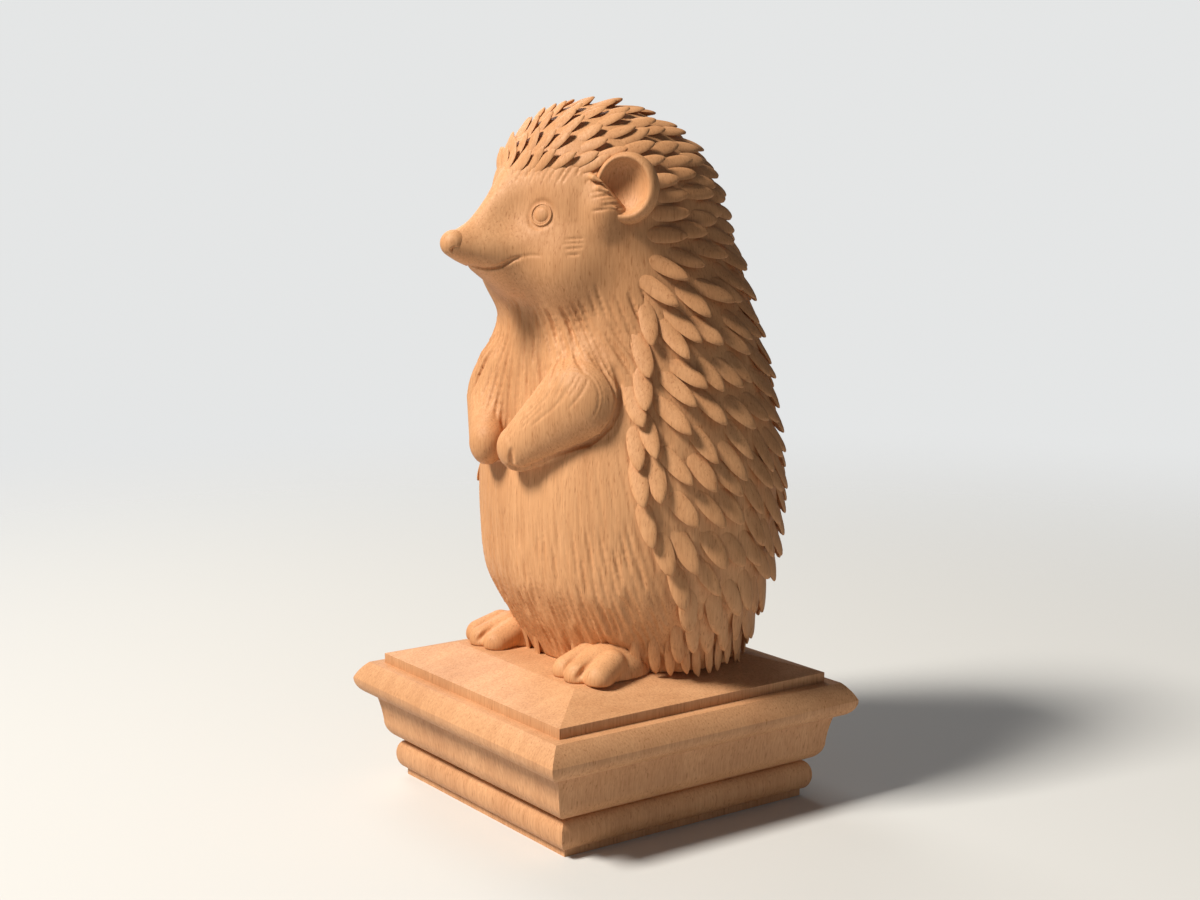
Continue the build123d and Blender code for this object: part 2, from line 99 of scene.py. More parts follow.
# Face and snout sections from the cheeks to the nose: reach in front of the axis, level, half
# width, half height, and how much narrower each is at its top than at its bottom
face_reaches = (18.0, 26.0, 34.0, 40.0, 46.0, 51.0, 54.2)
face_levels = (178.6, 178.1, 176.9, 174.9, 173.6, 173.2, 173.4)
face_widths = (26.6, 19.6, 13.2, 9.7, 7.1, 5.0, 3.3)
face_heights = (24.5, 22.5, 18.6, 12.8, 7.4, 4.7, 3.2)
face_pears = (0.05, 0.15, 0.34, 0.42, 0.36, 0.15, 0.00)
jaw_blend = 3.0

# Arms, the left one first and the right one hanging a little lower: centres and radii of hand and
# elbow, and how softly an arm meets the chest by height
hands = {1: np.array((8.9, -35.7, 113.6)), -1: np.array((-8.9, -35.7, 113.4))}
elbows = {1: np.array((23.2, -23.4, 128.3)), -1: np.array((-22.0, -23.6, 124.0))}
hand_radius = 7.2
elbow_radii = {1: 13.4, -1: 12.4}
arm_facing = np.array((0.50, -0.86, 0.10))
arm_flatness = 0.80
meet_heights = {1: (130.0, 137.0, 146.0), -1: (116.0, 126.0, 138.0)}
meet_blends = {1: (0.6, 2.0, 8.0), -1: (0.6, 7.0, 14.0)}

# Side view of the line between the front pieces and the quill coat
glue_line = (
    (-0.105, 0.879),
    (0.080, 0.785),
    (-0.183, 0.678),
    (-0.365, 0.443),
    (-0.388, 0.277),
    (-0.251, 0.124),
    (0.274, 0.022),
)
border = np.array([(y * half_depth, seat + h * figure_height) for y, h in glue_line])
hairline_share = 0.900
hairline_front = -36.0

# How a piece dives under its neighbour: how far it reaches there, how fast it sinks, and how far
# inside an arm's own form the line between arm and body lies
lap_reach = 3.0
lap_bend = 0.30
arm_lap = 1.0


def curve_through(places, values, at):
    """Smooth curve through knots, read at an array of places."""
    places = np.asarray(places, float)
    values = np.asarray(values, float)
    inner = (values[2:] - values[:-2]) / (places[2:] - places[:-2])
    ends = np.diff(values)[[0, -1]] / np.diff(places)[[0, -1]]
    slopes = np.concatenate((ends[:1], inner, ends[1:]))
    at = np.clip(at, places[0], places[-1])
    i = np.clip(np.searchsorted(places, at) - 1, 0, len(places) - 2)
    span = places[i + 1] - places[i]
    t = (at - places[i]) / span
    return (
        (1 + 2 * t) * (1 - t) ** 2 * values[i]
        + t * (1 - t) ** 2 * span * slopes[i]
        + t**2 * (3 - 2 * t) * values[i + 1]
        + t**2 * (t - 1) * span * slopes[i + 1]
    )


def soft_union(a, b, reach):
    """Smaller of two fields, with a fillet where they meet."""
    share = np.clip(0.5 + 0.5 * (b - a) / reach, 0, 1)
    return b + (a - b) * share - reach * share * (1 - share)


def soft_cut(a, b, reach):
    """First field without the inside of the second one."""
    return -soft_union(-a, b, reach)


def skin_section(z):
    """Half width, half depth, lean and closing rise of the smooth figure at heights z."""
    share = (np.asarray(z, float) - seat) / figure_height
    below = np.clip(share, 0, shoulder_share)
    rise = np.clip(share - shoulder_share, 0, None) / (1 - shoulder_share)
    wide = curve_through(station_heights, station_widths, below) * half_width
    deep = curve_through(station_heights, station_depths, below) * half_depth
    lean = curve_through((*station_heights, 1.0), (*station_leans, crown_lean), share) * half_depth
    return wide, deep, lean, rise


def skin_field(x, y, z):
    """Distance outside the smooth figure, near its skin."""
    wide, deep, lean, rise = skin_section(z)
    dome = (1 - shoulder_share) * figure_height
    size = np.sqrt((x / wide) ** 2 + ((y - lean) / deep) ** 2 + rise**2) + tiny
    slope = np.sqrt((x / wide**2) ** 2 + ((y - lean) / deep**2) ** 2 + (rise / dome) ** 2) + tiny
    return (size - 1) * size / slope


def face_field(x, y, z):
    """Distance outside the face and snout."""
    reach = -np.asarray(y, float)
    wide = curve_through(face_reaches, face_widths, reach)
    high = curve_through(face_reaches, face_heights, reach)
    level = curve_through(face_reaches, face_levels, reach)
    pear = curve_through(face_reaches, face_pears, reach)
    rise = (z - level) / high
    wide = wide * (1 - pear * np.clip(rise, -1, 1))
    size = np.sqrt((x / wide) ** 2 + rise**2) + tiny
    slope = np.sqrt((x / wide**2) ** 2 + (rise / high) ** 2) + tiny
    around = (size - 1) * size / slope
    return np.maximum(around, np.maximum(reach - face_reaches[-1], -reach))


def limb_field(x, y, z, chain, radii, blend=1.0):
    """Rounded limb along a chain of points with a radius at each."""
    total = None
    for start, end, first, last in zip(chain, chain[1:], radii, radii[1:]):
        along = np.subtract(end, start)
        share = (x - start[0]) * along[0] + (y - start[1]) * along[1] + (z - start[2]) * along[2]
        share = np.clip(share / (along @ along), 0, 1)
        gap = np.sqrt(
            (x - start[0] - share * along[0]) ** 2
            + (y - start[1] - share * along[1]) ** 2
            + (z - start[2] - share * along[2]) ** 2
        )
        form = gap - (first + (last - first) * share)
        total = form if total is None else soft_union(total, form, blend)
    return total


def ball_field(x, y, z, centre, halves):
    """Ellipsoid, near its surface."""
    size = [(v - c) / h for v, c, h in zip((x, y, z), centre, halves)]
    steep = [(v - c) / h**2 for v, c, h in zip((x, y, z), centre, halves)]
    size = np.sqrt(size[0] ** 2 + size[1] ** 2 + size[2] ** 2) + tiny
    steep = np.sqrt(steep[0] ** 2 + steep[1] ** 2 + steep[2] ** 2) + tiny
    return (size - 1) * size / steep


def mirrored(point, side):
    return np.array(point) * (side, 1, 1)


def arm_field(x, y, z, side):
    """Distance outside one arm: a drop with a round elbow, flattened towards the chest."""
    facing = mirrored(arm_facing, side) / np.linalg.norm(arm_facing)
    middle = (hands[side] + elbows[side]) / 2
    out = (x - middle[0]) * facing[0] + (y - middle[1]) * facing[1] + (z - middle[2]) * facing[2]
    out = out * (1 / arm_flatness - 1)
    x, y, z = x + out * facing[0], y + out * facing[1], z + out * facing[2]
    chain = np.array((hands[side], elbows[side]))
    chain = chain + facing * ((chain - middle) @ facing)[:, None] * (1 / arm_flatness - 1)
    radii = (hand_radius, elbow_radii[side])
    return limb_field(x, y, z, chain, radii) * math.sqrt(arm_flatness)


# Dents and swellings of the head on both sides: centre, half sizes, softness, and whether it is
# a cut
head_forms = (
    ((12.0, -21.0, 166.5), (13.0, 12.0, 12.0), 8.0, False),
    ((24.8, -16.4, 182.8), (5.5, 5.5, 7.5), 4.0, False),
    ((14.2, -41.9, 184.7), (9.0, 9.0, 9.0), 4.0, True),
)


def carved_form(x, y, z):
    """The whole front of the figure: body, head, face and arms in one."""
    form = soft_union(skin_field(x, y, z), face_field(x, y, z), jaw_blend)
    for centre, halves, blend, cut in head_forms:
        for side in sides:
            ball = ball_field(x, y, z, mirrored(centre, side), halves)
            form = soft_cut(form, ball, blend) if cut else soft_union(form, ball, blend)
    for side in sides:
        blend = np.interp(z, meet_heights[side], meet_blends[side])
        form = soft_union(form, arm_field(x, y, z, side), blend)
    return form


def coat_depth(y, z):
    """How far a place of the side view lies inside the quill coat's part of the figure."""
    behind = y - np.interp(z, border[::-1, 1], border[::-1, 0])
    hairline = seat + hairline_share * figure_height
    above = z - np.interp(y, (hairline_front, border[0, 0]), (hairline, border[0, 1]))
    return np.maximum(behind, above)


def lapped(form, beyond):
    """Piece of a form that dives under its neighbour where it goes beyond its own part."""
    return np.maximum(form + lap_bend * np.clip(beyond, 0, None) ** 2, beyond - lap_reach)


def torso_form(x, y, z):
    form = lapped(carved_form(x, y, z), z - neck_z)
    form = lapped(form, coat_depth(y, z))
    for side in sides:
        form = lapped(form, arm_lap - arm_field(x, y, z, side))
    return np.maximum(form, seat - z)


def head_form(x, y, z):
    return lapped(lapped(carved_form(x, y, z), neck_z - z), coat_depth(y, z))


def back_form(x, y, z):
    form = lapped(carved_form(x, y, z), -coat_depth(y, z))
    return np.maximum(form, seat - z)


def form_slopes(points, step=0.1):
    """Unit vectors out of the carved form."""
    parts = []
    for axis in np.eye(3) * step:
        parts.append(carved_form(*(points + axis).T) - carved_form(*(points - axis).T))
    slope = np.stack(parts, axis=-1)
    return slope / np.maximum(np.linalg.norm(slope, axis=-1, keepdims=True), tiny)


def onto_form(points, rounds=5):
    """Points moved onto the carved form."""
    for _ in range(rounds):
        points = points - form_slopes(points) * carved_form(*points.T)[:, None]
    return points


class Field:
    """Distance field on a grid of small cubes, for carving a closed mesh."""

    room_blends = 3
    band_steps = 3

    def __init__(self, low, high, step, function):
        self.low = np.asarray(low, float)
        self.step = step
        counts = np.ceil((np.asarray(high, float) - self.low) / step).astype(int) + 1
        axes = [self.low[k] + step * np.arange(counts[k]) for k in range(3)]
        grid = np.meshgrid(*axes, indexing="ij", sparse=True)
        self.values = np.broadcast_to(function(*grid), counts).astype(np.float32)

    def read(self, points):
        """Values between the grid's own points."""
        place = (points - self.low) / self.step
        top = np.array(self.values.shape) - 2
        cell = np.clip(np.floor(place).astype(int), 0, top)
        share = np.clip(place - cell, 0, 1)
        total = 0.0
        for corner in np.ndindex(2, 2, 2):
            weight = np.prod(np.where(corner, share, 1 - share), axis=-1)
            total = total + weight * self.values[tuple((cell + corner).T)]
        return total

    def slope(self, points):
        """Unit vectors out of the carved piece."""
        parts = []
        for axis in np.eye(3) * self.step:
            parts.append(self.read(points + axis) - self.read(points - axis))
        slope = np.stack(parts, axis=-1)
        return slope / np.maximum(np.linalg.norm(slope, axis=-1, keepdims=True), tiny)

    def around(self, ends, reach):
        """Part of the grid near some points, and its coordinates."""
        low = np.floor((np.min(ends, axis=0) - reach - self.low) / self.step).astype(int)
        high = np.ceil((np.max(ends, axis=0) + reach - self.low) / self.step).astype(int) + 1
        low = np.clip(low, 0, self.values.shape)
        high = np.clip(high, 0, self.values.shape)
        place = tuple(slice(a, b) for a, b in zip(low, high))
        axes = [self.low[k] + self.step * np.arange(low[k], high[k]) for k in range(3)]
        return place, np.meshgrid(*axes, indexing="ij", sparse=True)

    def stroke(self, chain, radii, blend, cut=True):
        """Groove, or raised strand, along a chain of points with a radius at each."""
        for start, end, first, last in zip(chain, chain[1:], radii, radii[1:]):
            room = max(first, last) + self.room_blends * blend
            place, (x, y, z) = self.around((start, end), room)
            part = self.values[place]
            if part.size:
                form = limb_field(x, y, z, (start, end), (first, last))
                merge = soft_cut if cut else soft_union
                self.values[place] = merge(part, form, blend)

    def mesh(self, rounds=2):
        """Points and quads of the surface, settled onto it."""
        band = self.band_steps * self.step
        grid = openvdb.FloatGrid(band)
        grid.copyFromArray(np.clip(self.values, -band, band))
        points, quads = grid.convertToQuads(0.0)
        points = self.low + points * self.step
        for _ in range(rounds):
            points = points - self.slope(points) * self.read(points)[:, None]
        return points, quads[:, ::-1]


def new_piece(name, points, faces, replaced, material):
    """Mesh object from millimetre points, shown in place of CAD nodes."""
    data = bpy.data.meshes.new(name)
    data.from_pydata((np.asarray(points) * mm).tolist(), [], [list(face) for face in faces])
    data.validate()
    data.shade_smooth()
    data.materials.append(material)
    piece = bpy.data.objects.new(name, data)
    bpy.context.scene.collection.objects.link(piece)
    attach(piece, "root")
    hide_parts(*replaced)
    return piece


# Wood: pale beech with upright grain through the whole block
white = (1.0, 1.0, 1.0, 1.0)
band_share = 0.75
open_fibre, shut_fibre = 0.12, -0.06
wood_specular = 0.32
fibre_bump = 0.30
fibre_depth = 0.0002


def wood(name, pale, dark, grain, gloss):
    """Oiled beech: drifting tone, fine upright fibres, short flecks, end grain on level faces."""
    material = bpy.data.materials.new(name)
    material.use_nodes = True
    nodes = material.node_tree.nodes
    links = material.node_tree.links
    shader = nodes["Principled BSDF"]
    place = nodes.new("ShaderNodeTexCoord")

    def noise(scale, detail, roughness):
        stretch = nodes.new("ShaderNodeVectorMath")
        stretch.operation = "MULTIPLY"
        stretch.inputs[1].default_value = scale
        links.new(place.outputs["Object"], stretch.inputs[0])
        texture = nodes.new("ShaderNodeTexNoise")
        texture.inputs["Scale"].default_value = 1.0
        texture.inputs["Detail"].default_value = detail
        texture.inputs["Roughness"].default_value = roughness
        links.new(stretch.outputs[0], texture.inputs["Vector"])
        return texture.outputs["Fac"]

    def ramp(factor, low, high, first, last):
        node = nodes.new("ShaderNodeValToRGB")
        node.color_ramp.elements[0].position = low
        node.color_ramp.elements[1].position = high
        node.color_ramp.elements[0].color = first
        node.color_ramp.elements[1].color = last
        links.new(factor, node.inputs["Fac"])
        return node.outputs["Color"]

    def mix(blend, factor, first, last):
        node = nodes.new("ShaderNodeMix")
        node.data_type = "RGBA"
        node.blend_type = blend
        node.inputs["Factor"].default_value = factor
        links.new(first, node.inputs["A"])
        links.new(last, node.inputs["B"])
        return node.outputs["Result"]

    drift = noise((38.0, 38.0, 9.0), 3.0, 0.55)
    bands = noise((260.0, 90.0, 7.0), 2.0, 0.5)
    fibres = noise((1700.0, 1700.0, 60.0), 3.0, 0.65)
    flecks = noise((2600.0, 1500.0, 300.0), 1.0, 0.4)
    tone = ramp(drift, 0.30, 0.72, dark, pale)
    band_tone = ramp(bands, 0.36, 0.66, (0.90, 0.86, 0.82, 1.0), white)
    fibre_tone = ramp(fibres, 0.34, 0.62, (0.80, 0.74, 0.68, 1.0), white)
    fleck_tone = ramp(flecks, 0.26, 0.38, (0.70, 0.60, 0.52, 1.0), white)
    colour = mix("MULTIPLY", band_share, tone, band_tone)
    colour = mix("MULTIPLY", grain, colour, fibre_tone)
    colour = mix("MULTIPLY", grain, colour, fleck_tone)
    links.new(colour, shader.inputs["Base Color"])
    rough, smooth = ((gloss + shift,) * 3 + (1.0,) for shift in (open_fibre, shut_fibre))
    links.new(ramp(fibres, 0.30, 0.70, rough, smooth), shader.inputs["Roughness"])
    shader.inputs["Specular IOR Level"].default_value = wood_specular
    bump = nodes.new("ShaderNodeBump")
    bump.inputs["Strength"].default_value = fibre_bump
    bump.inputs["Distance"].default_value = fibre_depth
    links.new(fibres, bump.inputs["Height"])
    links.new(bump.outputs["Normal"], shader.inputs["Normal"])
    return material


# Each wood's pale and dark tone, strength of the grain and roughness
woods = {
    "carved_wood": ((0.72, 0.385, 0.185, 1.0), (0.60, 0.30, 0.135, 1.0), 0.75, 0.58),
    "plinth_wood": ((0.70, 0.385, 0.195, 1.0), (0.58, 0.30, 0.145, 1.0), 0.80, 0.56),
    "dowel_wood": ((0.62, 0.42, 0.25, 1.0), (0.52, 0.34, 0.19, 1.0), 0.50, 0.62),
}
slot_materials = {name: wood(name, *values) for name, values in woods.items()}
carved_wood = slot_materials["carved_wood"]
for subpart in frame["record"]["subparts"]:
    node = frame["nodes"][subpart["node"]]
    node.data.materials.clear()
    node.data.materials.append(slot_materials[subpart["material_slot"]])

# Grids for the carved pieces: two corners of each, and the size of its cubes
margin = 3.0
neck_room = 5.0
arm_room = 19.0
crown = seat + figure_height
torso_box = ((-50.0, -48.0, seat - margin), (50.0, 18.0, neck_z + neck_room))
head_box = ((-41.0, -57.0, neck_z - neck_room), (41.0, 9.0, 203.0))
back_box = ((-56.0, -42.0, seat - margin), (56.0, 56.0, crown + margin))
torso_step, head_step, back_step, arm_step = 0.6, 0.42, 0.84, 0.4
torso = Field(*torso_box, torso_step, torso_form)
head = Field(*head_box, head_step, head_form)
back = Field(*back_box, back_step, back_form)
arms = {}
for side in sides:
    ends = np.array((hands[side], elbows[side]))
    low, high = ends.min(axis=0) - arm_room, ends.max(axis=0) + arm_room

    def arm_form(x, y, z, side=side):
        return lapped(carved_form(x, y, z), arm_field(x, y, z, side) - arm_lap)

    arms[side] = Field(low, high, arm_step, arm_form)
carved = (torso, head, back, *arms.values())

# Gouge strokes: clear way along each and spread of the lengths as shares of a stroke's length, how
# a stroke runs out at its ends, spreads of depth, width and softness of fine strokes, points on a
# drawn line, and the candidates for the starts in one zone
stroke_clear = 0.7
length_spread = (0.65, 1.25)
fade_start, fade_span, fade_power = 0.06, 0.88, 0.7
body_depths = (0.45, 1.2)
face_depths = (0.5, 1.2)
fine_width = 0.75
fine_blend = 0.25
line_points = 13
candidates = 2200


def flow_chains(starts, lengths, heading, steps=6):
    """Chains that run along the carved form from starts."""
    points = onto_form(starts)
    chains = [points]
    for _ in range(steps):
        course = along_form(heading(points), form_slopes(points))
        points = onto_form(points + course * lengths[:, None] / steps, 2)
        chains.append(points)
    return np.stack(chains, axis=1)


def scatter(points, courses, normals, along, across):
    """Numbers of the points that are kept so that each has a clear oval round it."""
    aside = np.cross(normals, courses)
    kept = []
    for k, point in enumerate(points):
        away = points[kept] - point
        gaps = (away @ courses[k] / along[k]) ** 2 + (away @ aside[k] / across[k]) ** 2
        gaps = gaps + (away @ normals[k] / along[k]) ** 2
        if not kept or gaps.min() > 1:
            kept.append(k)
    return np.array(kept)


def along_form(courses, normals):
    """Directions laid flat on the form."""
    courses = courses - normals * np.sum(courses * normals, axis=-1, keepdims=True)
    return courses / np.maximum(np.linalg.norm(courses, axis=-1, keepdims=True), tiny)


def spread_strokes(starts, length, spacing, heading):
    """Chains of strokes that lie side by side and leave ridges between them."""
    starts = onto_form(starts)
    normals = form_slopes(starts)
    courses = along_form(heading(starts), normals)
    along = np.full(len(starts), stroke_clear * length)
    across = np.full(len(starts), spacing)
    kept = scatter(starts, courses, normals, along, across)
    lengths = length * random.uniform(*length_spread, len(kept))
    return flow_chains(starts[kept], lengths, heading)


def press_strokes(chains, width, depths, blend=0.3):
    """Tapered gouge strokes along chains: deepest in the middle, running out at both ends."""
    shape = chains.shape
    normals = form_slopes(chains.reshape(-1, 3)).reshape(shape)
    shares = np.linspace(0, 1, shape[1])
    fade = np.sin(np.pi * (fade_start + fade_span * shares)) ** fade_power
    radii = np.full(shape[1], width / 2)
    for chain, normal, depth in zip(chains, normals, depths):
        lift = width / 2 - depth * fade
        for field in carved:
            field.stroke(chain + normal * lift[:, None], radii, blend)


def press_lines(lines, width, depth, both_sides=True):
    """Single strokes through given points, on one side or on both."""
    for line in lines:
        for side in sides if both_sides else sides[:1]:
            chain = even_points(mirrored(line, side), np.linspace(0, 1, line_points))
            press_strokes(onto_form(chain)[None], width, (depth,))


def even_points(chain, shares):
    """Points at shares of a chain's length."""
    lengths = np.concatenate(([0.0], np.cumsum(np.linalg.norm(np.diff(chain, axis=0), axis=1))))
    at = np.asarray(shares) * lengths[-1]
    return np.stack([np.interp(at, lengths, chain[:, k]) for k in range(chain.shape[1])], axis=-1)


def around_points(count, low, high, first, last):
    """Points on the smooth figure, at random heights and angles from the front, to both sides."""
    z = random.uniform(low, high, count)
    angle = np.radians(random.uniform(first, last, count)) * random.choice(sides, count)
    wide, deep, lean, rise = skin_section(z)
    closing = np.sqrt(np.clip(1 - rise**2, 0, 1))
    x = wide * closing * np.sin(angle)
    y = lean - deep * closing * np.cos(angle)
    return np.stack((x, y, z), axis=-1)


# Fur on the body: free space round the arms below the shoulders, and how it fans out by height and
# leans back at the sides
arm_gap = 3.0
shoulder_level = 147.0
fan_heights = (100.0, 128.0, 146.0, 156.0)
fan_shares = (0.002, 0.006, 0.030, 0.012)
side_lean = 0.35


def away_from_arms(points):
    """Points that don't lie on an arm below the shoulder."""
    near = np.minimum(arm_field(*points.T, 1), arm_field(*points.T, -1))
    return points[(near > arm_gap) | (points[:, 2] > shoulder_level)]


def fur_course(points, out, back, up):
    """Directions at points, from their parts to the left, to the back and up."""
    course = np.zeros_like(points)
    for axis, part in enumerate((out, back, up)):
        course[:, axis] = part
    return course


def falling_fur(points):
    """Fur on chest and belly: down, fanning out below the throat and back at the sides."""
    fan = np.interp(points[:, 2], fan_heights, fan_shares)
    lean = np.abs(points[:, 0]) / half_width * side_lean
    return fur_course(points, points[:, 0] * fan, lean, -1.0)


# Zones of gouge strokes: height from and to, angle from the front from and to, length, spacing,
# depth, width
fur_zones = (
    (139.0, 158.0, 0.0, 38.0, 17.0, 1.9, 1.10, 1.4),
    (118.0, 150.0, 0.0, 62.0, 14.0, 2.0, 0.80, 1.3),
    (134.0, 163.0, 38.0, 72.0, 12.0, 2.2, 0.66, 1.3),
    (92.0, 122.0, 0.0, 70.0, 16.0, 3.2, 0.24, 1.3),
    (62.0, 94.0, 0.0, 76.0, 13.0, 2.2, 0.60, 1.3),
    (50.0, 72.0, 0.0, 90.0, 12.0, 1.9, 0.85, 1.4),
    (47.0, 60.0, 25.0, 170.0, 11.0, 2.2, 1.40, 1.8),
)
for low, high, first, last, length, spacing, depth, width in fur_zones:
    starts = away_from_arms(around_points(candidates, low, high, first, last))
    chains = spread_strokes(starts, length, spacing, falling_fur)
    press_strokes(chains, width, depth * random.uniform(*body_depths, len(chains)))

# Lines over the far hip, which is the right one
hip_lines = (
    ((-29.2, -25.6, 78.0), (-18.8, -28.5, 68.9), (-11.7, -27.1, 62.0), (-7.5, -25.8, 58.2)),
    ((-23.5, -27.7, 72.8), (-15.5, -27.9, 64.8), (-9.6, -26.4, 59.0)),
)
press_lines(hip_lines, width=1.2, depth=0.4, both_sides=False)


# Arms: strokes that fall over the shoulder and turn to the hand, and arcs round the elbow. Places
# are counted from the elbow: along the arm to the hand, over it and out to its front
fur_turn_top, fur_turn_height = 141.0, 15.0
arm_candidates = 700
arm_along = (-8.0, 9.0)
arm_over = (1.0, 13.0)
arm_front = 9.0
arm_stroke_length = 9.5
arm_stroke_spacing = 1.5
arm_stroke_depths = (0.12, 0.30)
arc_radii = (7.6, 9.0, 10.2, 11.4, 12.5)
arc_front = 7.0
arc_angles = np.array((10.0, 160.0))
arc_swing = 7
arc_points = 15
arc_depths = (0.15, 0.28)


def arm_strokes(side):
    axis = hands[side] - elbows[side]
    axis = axis / np.linalg.norm(axis)
    facing = mirrored(arm_facing, side)
    rise = np.cross(axis, facing) * side
    rise /= np.linalg.norm(rise)
    front = np.cross(rise, axis) * side
    elbow = elbows[side]

    def arm_fur(points):
        share = np.clip((fur_turn_top - points[:, 2:]) / fur_turn_height, 0, 1)
        return (1 - share) * np.array((0.0, 0.0, -1.0)) + share * axis

    along = random.uniform(*arm_along, arm_candidates)
    over = random.uniform(*arm_over, arm_candidates)
    starts = elbow + front * arm_front + axis * along[:, None] + rise * over[:, None]
    chains = spread_strokes(starts, arm_stroke_length, arm_stroke_spacing, arm_fur)
    press_strokes(chains, fine_width, random.uniform(*arm_stroke_depths, len(chains)))
    for radius in arc_radii:
        turn = np.radians(np.linspace(*(random.normal(0, arc_swing) + arc_angles), arc_points))
        ring = rise * np.cos(turn)[:, None] - axis * np.sin(turn)[:, None]
        arc = onto_form(elbow + front * arc_front + ring * radius)
        press_strokes(arc[None], fine_width, (random.uniform(*arc_depths),))


for side in sides:
    arm_strokes(side)
finger_line = ((11.6, -42.0, 106.5), (12.2, -42.2, 110.0), (12.3, -41.4, 114.0))
press_lines((finger_line,), width=1.8, depth=0.8)
# Crease below the near arm, which is the left one
arm_crease = (
    (9.8, -39.9, 108.5),
    (11.9, -36.7, 107.2),
    (17.1, -32.4, 110.2),
    (23.1, -28.7, 113.6),
    (28.9, -24.5, 116.3),
    (35.0, -20.0, 124.3),
    (35.6, -17.6, 131.4),
    (33.2, -18.6, 138.0),
)
press_lines((arm_crease,), width=2.2, depth=1.7, both_sides=False)

# Head: mouth, whiskers, hairline and the fur in front of the ears
mouth_line = (
    (0.0, -48.3, 167.6),
    (1.6, -47.3, 167.0),
    (4.3, -44.8, 166.3),
    (7.7, -41.8, 167.2),
    (10.2, -38.6, 169.2),
    (11.6, -36.2, 170.0),
)
mouth_end = (mouth_line[-1], (13.4, -33.4, 170.3), (15.1, -30.7, 170.0))
press_lines((mouth_line,), width=1.2, depth=1.0)
press_lines((mouth_end,), width=0.9, depth=0.2)
whiskers = (
    ((19.9, -26.6, 174.4), (23.6, -23.2, 175.0)),
    ((19.6, -26.7, 173.0), (23.5, -23.1, 173.6)),
    ((19.6, -26.4, 171.3), (23.2, -23.3, 172.2)),
    ((19.9, -25.9, 169.8), (22.2, -23.9, 170.1)),
)
press_lines(whiskers, width=0.6, depth=0.24)


def rising_fur(points):
    """Short fur below the hairline, which runs up into the first quills."""
    return fur_course(points, out=points[:, 0] * 0.01, back=0.75, up=1.0)


def backward_fur(points):
    """Fur between the face and the ears."""
    return fur_course(points, out=np.sign(points[:, 0]) * 0.6, back=1.0, up=0.15)


# Zones of face fur: height from and to, angle from the front from and to, length, spacing, depth,
# direction
face_fur = (
    (190.5, 197.0, 0.0, 64.0, 6.5, 1.3, 0.34, rising_fur),
    (183.0, 194.0, 50.0, 66.0, 6.5, 1.4, 0.36, backward_fur),
)
for low, high, first, last, length, spacing, depth, heading in face_fur:
    starts = around_points(candidates, low, high, first, last)
    chains = spread_strokes(starts, length, spacing, heading)
    depths = depth * random.uniform(*face_depths, len(chains))
    press_strokes(chains, fine_width, depths, fine_blend)

# Ears: cupped ovals turned half forward, with tufts of fur over the front edge of each. A tuft is a
# line of points across the ear, up it and out from it
ear_place = (31.6, -13.4, 189.6)
ear_turn = math.radians(48.0)
ear_half_width = 9.4
ear_half_height = 10.4
ear_half_depth = 5.4
ear_sink = -1.4
ear_slant = 0.08
ear_face, ear_face_blend = 2.0, 1.2
bowl_place = (-0.8, 0.6, 2.7)
bowl_halves = (7.4, 8.4, 6.2)
bowl_blend = 1.0
ear_room, ear_step = 13.0, 0.35
# Where the bowl is freed of head and coat: growth, room and softness, and a slanting front limit
free_grow, free_room, free_blend = 0.3, 12.0, 0.8
free_at, free_across, free_up = -4.0, 0.75, 0.65
ear_tufts = (
    ((-11.6, 3.6, -2.4), (-9.4, 3.0, 0.6), (-6.8, 1.8, 1.6)),
    ((-10.4, 0.2, -2.2), (-7.8, 0.0, 0.8), (-4.8, -0.8, 1.8)),
    ((-9.0, -4.4, -2.0), (-6.0, -4.6, 0.8), (-2.8, -5.6, 1.8)),
)
tuft_radii = (0.95, 0.85, 0.25)
tuft_blend = 0.4


def ear_axes(side):
    """Directions across the ear, up it and out of it."""
    across = np.array((side * math.cos(ear_turn), math.sin(ear_turn), 0.0))
    facing = np.array((side * math.sin(ear_turn), -math.cos(ear_turn), 0.0))
    return np.array((across, (0.0, 0.0, 1.0), facing))


def ear_frame(x, y, z, side):
    """Coordinates across the ear, up it and out of it."""
    level, _, facing = ear_axes(side)
    dx, dy = x - side * ear_place[0], y - ear_place[1]
    across = dx * level[0] + dy * level[1]
    return across, z - ear_place[2], dx * facing[0] + dy * facing[1] - ear_slant * across


def ear_bowl(across, up, out, grow=0.0):
    return ball_field(across, up, out, bowl_place, [half + grow for half in bowl_halves])


for side in sides:
    for field in (head, back):
        place, grid = field.around(mirrored(ear_place, side)[None], free_room)
        across, up, out = ear_frame(*grid, side)
        limit = free_at - free_across * across - free_up * up
        bowl = np.maximum(ear_bowl(across, up, out, free_grow), limit)
        field.values[place] = soft_cut(field.values[place], bowl, free_blend)
for tuft in ear_tufts:
    for side in sides:
        chain = mirrored(ear_place, side) + np.array(tuft) @ ear_axes(side)
        head.stroke(chain, tuft_radii, tuft_blend, cut=False)

# Eyes: a button with a thin raised ring, in a socket with a moat round it. Radii are counted from
# the eye's axis and sinks down into the head
eye_place = (14.4, -31.7, 182.1)
eye_slope_step = 2.5
eye_radius, eye_half_depth, eye_sink = 2.5, 1.3, 0.6
ring_radius, ring_half, ring_sink = 3.1, 0.3, 0.05
button_radius, button_half, button_sink = 3.2, 1.0, 1.3
moat_radius, moat_half, moat_sink = 3.8, 0.8, -0.62
moat_blend, moat_room = 0.6, 8.0
eye_room, eye_step = 5.5, 0.15
eye_seats, eye_normals = {}, {}


def eye_frame(x, y, z, side):
    """Distance from the eye's axis, and height over its seat."""
    away = [v - s for v, s in zip((x, y, z), eye_seats[side])]
    out = sum(v * n for v, n in zip(away, eye_normals[side]))
    return np.sqrt(np.clip(sum(v**2 for v in away) - out**2, 0, None)), out


